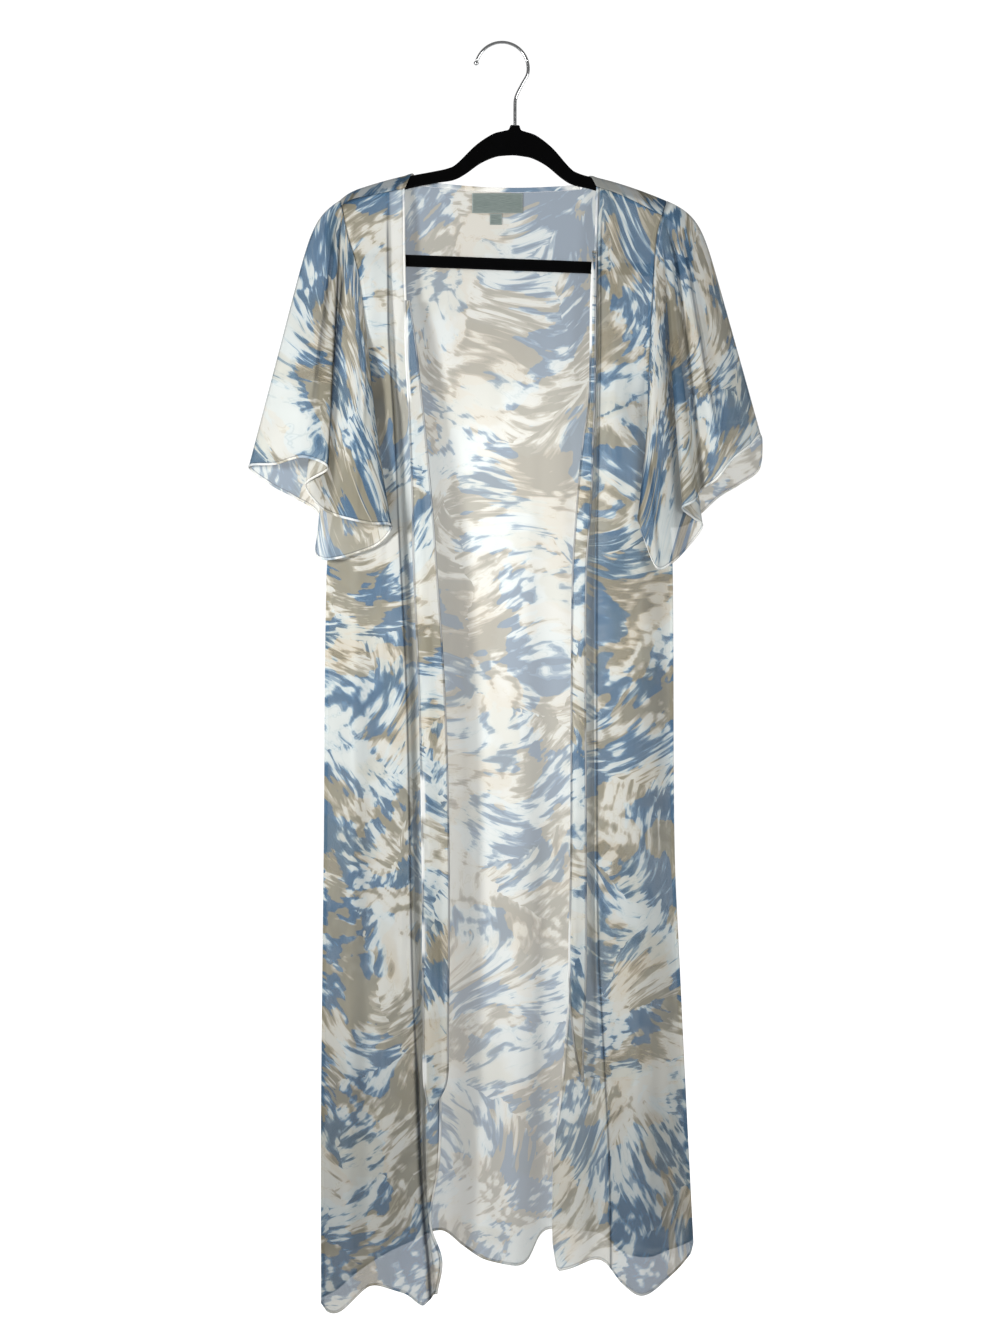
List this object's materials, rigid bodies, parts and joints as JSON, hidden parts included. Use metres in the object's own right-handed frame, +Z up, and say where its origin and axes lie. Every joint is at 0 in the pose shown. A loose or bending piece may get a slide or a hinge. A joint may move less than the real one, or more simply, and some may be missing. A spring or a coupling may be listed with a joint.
{
  "type": "open-front duster on a hanger",
  "caption": "Long sheer open-front duster with short flutter sleeves and hanging front ties, on a slim flocked hanger with a wire hook.",
  "frame": {"origin": "inside of the top of the hanger's hook, where a rail carries it", "axes": "+Z up along the height, -Y out of the front, +X to the right as seen from the front"},
  "size_m": [0.5766, 0.0905, 1.4228],
  "materials": {
    "printed_chiffon": "matt sheer weave with a soft marbled print in blue, taupe, cream and white",
    "label_satin": "satin ribbon",
    "flocked_plastic": "velvet flock",
    "hook_chrome": "polished"
  },
  "bodies": {
    "root": {"hanger": "flocked_plastic", "hook": "hook_chrome", "hook_ball": "hook_chrome", "back": "printed_chiffon", "back_strap_left": "printed_chiffon", "back_strap_right": "printed_chiffon", "front_left": "printed_chiffon", "front_right": "printed_chiffon", "sleeve_left": "printed_chiffon", "sleeve_right": "printed_chiffon", "tie_left": "printed_chiffon", "tie_right": "printed_chiffon", "neck_binding": "printed_chiffon", "label": "label_satin", "size_tab": "label_satin"}
  },
  "joints": []
}
